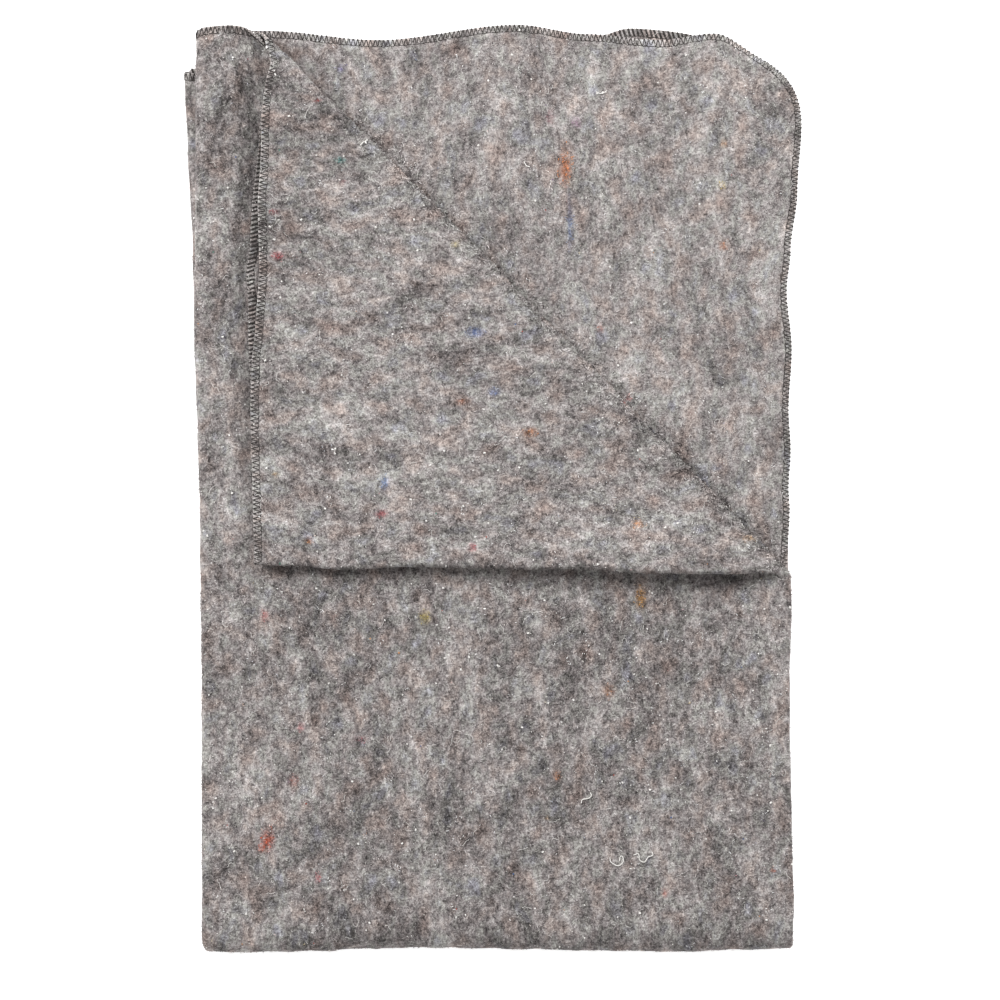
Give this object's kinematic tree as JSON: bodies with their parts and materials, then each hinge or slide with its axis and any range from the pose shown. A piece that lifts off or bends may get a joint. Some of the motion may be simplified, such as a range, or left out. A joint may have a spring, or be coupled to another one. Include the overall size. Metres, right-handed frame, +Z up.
{
  "type": "folded wool blanket",
  "caption": "Grey felted recycled-wool blanket with dark overlocked edges and rounded corners, folded flat with one corner of the upper layers turned down over a diagonal.",
  "frame": {"origin": "middle of the folded blanket's bounding box, on the surface it rests on", "axes": "+X across the folded blanket, +Y along it from the crosswise fold towards the cut edges, +Z up"},
  "size_m": [0.5192, 0.7796, 0.0482],
  "materials": {
    "wool": "matt felted wool, mottled grey with small coloured fibres",
    "edge_thread": "dark overlock thread"
  },
  "bodies": {
    "root": {"blanket": "wool"}
  },
  "joints": []
}
